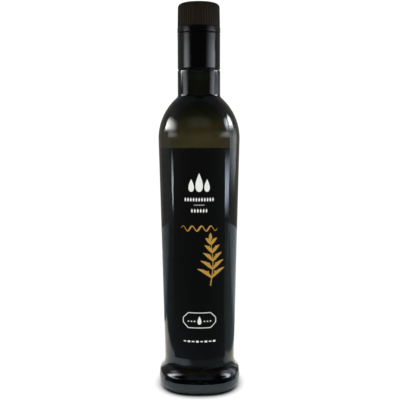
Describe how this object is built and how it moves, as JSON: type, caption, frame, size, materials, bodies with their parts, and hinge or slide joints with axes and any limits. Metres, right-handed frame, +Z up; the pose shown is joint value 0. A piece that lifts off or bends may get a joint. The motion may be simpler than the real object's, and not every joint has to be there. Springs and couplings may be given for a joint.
{
  "type": "olive oil bottle",
  "caption": "Tall dark glass oil bottle with a rounded-square foot, long black screw closure, black labels and oil inside.",
  "frame": {"origin": "middle of the bottle's bounding box where it meets the surface it stands on", "axes": "+Z up along the bottle's axis; -Y is the way the front label faces; +X to the right seen from the front"},
  "size_m": [0.0658, 0.0658, 0.3045],
  "materials": {
    "glass": "antique green, blown and fire polished",
    "oil": "clear golden green liquid",
    "closure": "black satin lacquer",
    "label": "black coated paper"
  },
  "bodies": {
    "root": {"bottle_glass": "glass", "oil": "oil", "screw_cap": "closure", "cap_sleeve": "closure", "front_label": "label", "back_label": "label"}
  },
  "joints": []
}
